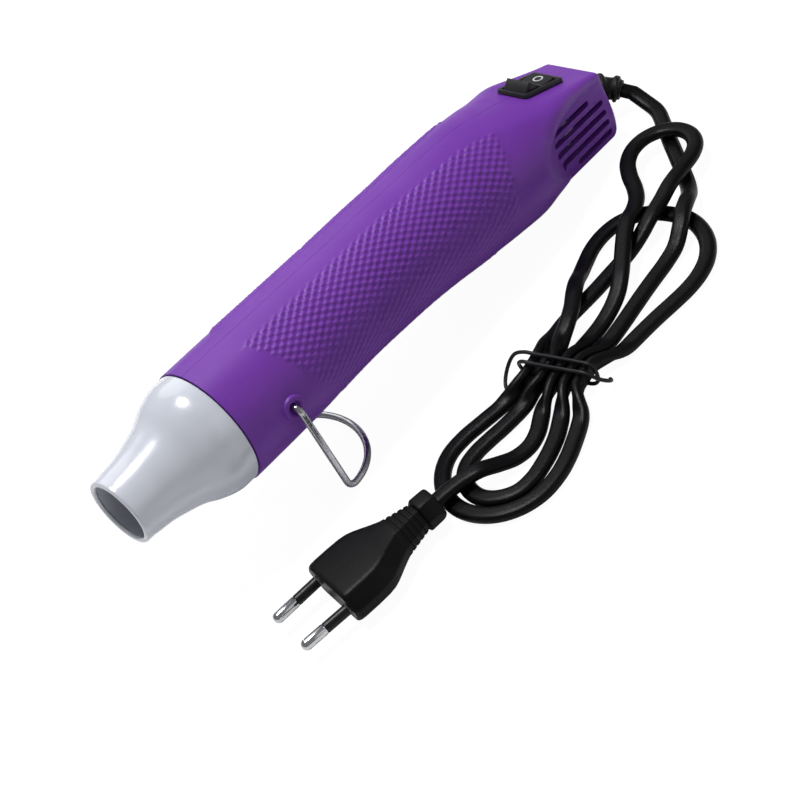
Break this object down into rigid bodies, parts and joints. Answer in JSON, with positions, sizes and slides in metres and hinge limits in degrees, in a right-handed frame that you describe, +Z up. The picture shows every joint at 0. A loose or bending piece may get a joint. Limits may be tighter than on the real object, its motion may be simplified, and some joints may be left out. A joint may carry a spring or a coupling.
{
  "type": "embossing heat tool",
  "caption": "Corded embossing heat tool with a round grip, a flared nozzle, a fold-out wire stand, a rocker switch and a mains lead tied in a hank with a flat plug.",
  "frame": {"origin": "middle of the tool and its stand, without the free lead, on the bench that the tail and the stand rest on", "axes": "+Z up, +X from the nozzle to the tail, so the lead lies on the -Y side"},
  "size_m": [0.2619, 0.1262, 0.0675],
  "materials": {
    "purple_case": "satin moulded plastic",
    "white_nozzle": "glossy heat-proof plastic",
    "black_plastic": "matt moulded plastic",
    "black_rubber": "satin cord sheath",
    "steel": "bright plated steel",
    "brass": "plain brass",
    "copper": "copper windings and contacts",
    "mica": "mica board",
    "dark_metal": "dark metal",
    "nylon": "natural nylon",
    "board": "circuit board",
    "red_wire": "wire sheath",
    "blue_wire": "wire sheath"
  },
  "bodies": {
    "case": {"left_shell": "purple_case", "right_shell": "purple_case", "nozzle": "white_nozzle", "mica_tube": "mica", "mica_plate_a": "mica", "mica_plate_b": "mica", "heater_coil": "dark_metal", "heater_base": "mica", "thermostat": "nylon", "thermal_fuse": "brass", "motor_mount": "nylon", "motor_can": "dark_metal", "motor_end_cap": "nylon", "motor_magnet_1": "dark_metal", "motor_magnet_2": "dark_metal", "front_bush": "brass", "rear_bush": "brass", "motor_brush_1": "copper", "motor_brush_2": "copper", "rectifier_board": "board", "switch_body": "black_plastic", "switch_terminal_1": "brass", "switch_terminal_2": "brass", "strain_relief": "black_rubber", "cord_inside": "black_rubber", "cord_clamp": "nylon", "clamp_screw_1": "steel", "clamp_screw_2": "steel", "wire_live": "red_wire", "wire_switched": "red_wire", "wire_neutral": "blue_wire", "heater_lead_1": "nylon", "heater_lead_2": "nylon", "cord_lead": "black_rubber", "cord_hank": "black_rubber", "cord_tail": "black_rubber", "twist_tie": "black_plastic", "plug_body": "black_plastic", "plug_pin_1": "steel", "plug_pin_2": "steel", "pin_sleeve_1": "black_plastic", "pin_sleeve_2": "black_plastic", "case_screw_1": "steel", "diode_1": "black_plastic", "case_screw_2": "steel", "diode_2": "black_plastic", "case_screw_3": "steel", "diode_3": "black_plastic", "case_screw_4": "steel", "diode_4": "black_plastic"},
    "stand": {"stand_wire": "steel"},
    "rocker": {"switch_rocker": "black_plastic"},
    "rotor": {"fan": "nylon", "motor_shaft": "steel", "motor_armature": "copper", "motor_commutator": "copper"}
  },
  "joints": [
    {"name": "stand_fold", "type": "hinge", "parent": "case", "child": "stand", "pos_m": [-0.06742, 0, 0.04255], "axis": [0, 1, 0], "range_deg": [-22, 95]},
    {"name": "rocker_tilt", "type": "hinge", "parent": "case", "child": "rocker", "pos_m": [0.09234, 0, 0.03646], "axis": [0, -1, 0], "range_deg": [0, 20]},
    {"name": "rotor_spin", "type": "hinge", "parent": "case", "child": "rotor", "pos_m": [0.01973, 0, 0.03374], "axis": [0.9949, 0, -0.1006], "continuous": true}
  ]
}
